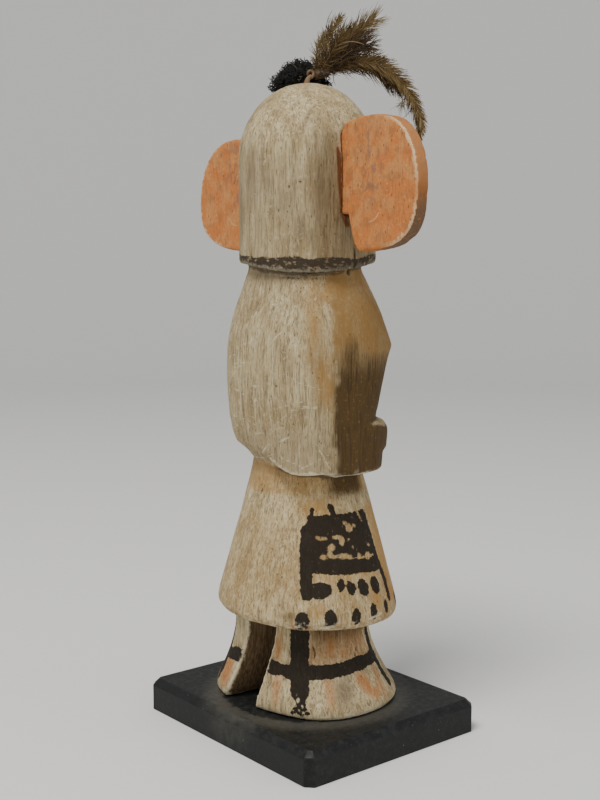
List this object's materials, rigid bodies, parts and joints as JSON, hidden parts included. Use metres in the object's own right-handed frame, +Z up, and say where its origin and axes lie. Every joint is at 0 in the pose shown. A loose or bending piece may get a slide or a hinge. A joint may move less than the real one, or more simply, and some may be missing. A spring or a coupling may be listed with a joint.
{
  "type": "kachina doll",
  "caption": "Carved wooden doll with a domed cylinder head, two slab ears, folded arms, a flared kilt and bell legs, on a bevelled plinth, with wool and feathers on its crown.",
  "frame": {"origin": "middle of the plinth's underside", "axes": "+Z up along the doll, the doll faces -Y and its right hand is towards -X"},
  "size_m": [0.1518, 0.1014, 0.3251],
  "materials": {
    "figure": "worn chalky paint on carved cottonwood",
    "ear": "worn matt orange paint",
    "plinth": "matt black stain",
    "wool": "matted wool",
    "quill": "dull horn",
    "feather": "soft barbs"
  },
  "bodies": {
    "root": {"plinth": "plinth", "figure": "figure", "right_ear": "ear", "left_ear": "ear", "wool_tuft": "wool", "quill_stub": "quill", "short_feathers": "feather", "long_feather": "feather"}
  },
  "joints": []
}
